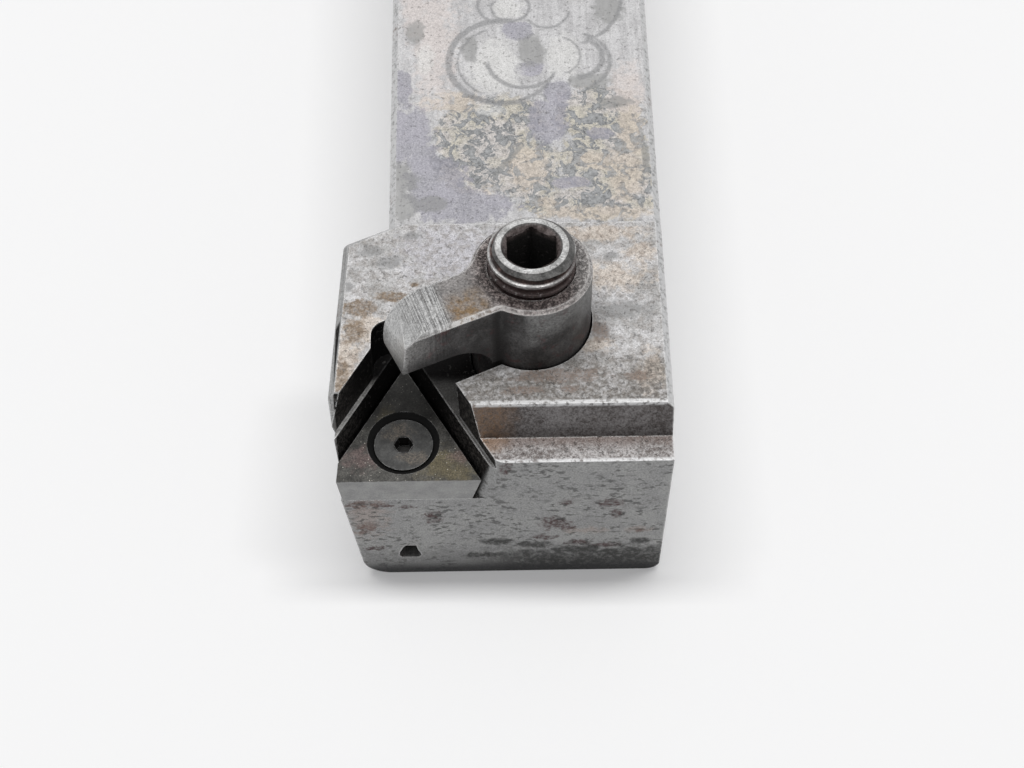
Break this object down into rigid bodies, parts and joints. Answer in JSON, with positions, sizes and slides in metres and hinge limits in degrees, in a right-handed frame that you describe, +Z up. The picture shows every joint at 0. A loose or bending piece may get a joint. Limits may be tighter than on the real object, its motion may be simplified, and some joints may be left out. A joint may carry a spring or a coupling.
{
  "type": "turning tool holder",
  "caption": "Square-shank left-hand lathe tool holder with an offset head, a shim in a triangular seat and a finger clamp worked by a double-threaded screw.",
  "frame": {"origin": "on the shank's underside, on its centre line, where the head meets the shank", "axes": "+X across the shank towards the head's flush side, +Y back along the shank, +Z up"},
  "size_m": [0.0305, 0.1524, 0.0358],
  "materials": {
    "holder_body": "worn, pitted, rust-stained bare steel",
    "shim": "dark sintered carbide, speckled",
    "shim_screw": "dull grey steel with dirt in the socket",
    "clamp": "dark hardened steel, nose ground bright",
    "clamp_screw": "worn steel with rust in the thread"
  },
  "bodies": {
    "holder": {"holder_body": "holder_body", "shim": "shim", "shim_screw": "shim_screw"},
    "clamp": {"clamp": "clamp"},
    "clamp_screw": {"clamp_screw": "clamp_screw"}
  },
  "joints": [
    {"name": "clamp_lift", "type": "slide", "parent": "holder", "child": "clamp", "axis": [0, 0.0941, 0.9956], "range_m": [-0.0047, 0.002]},
    {"name": "screw_turn", "type": "hinge", "parent": "clamp", "child": "clamp_screw", "pos_m": [0.0003, -0.0108, 0.0257], "axis": [0, 0.0941, 0.9956], "range_deg": [-804, 345]}
  ],
  "couplings": [
    {"joint": "screw_turn", "follows": "clamp_lift", "rad_per_m": 2968.4}
  ]
}
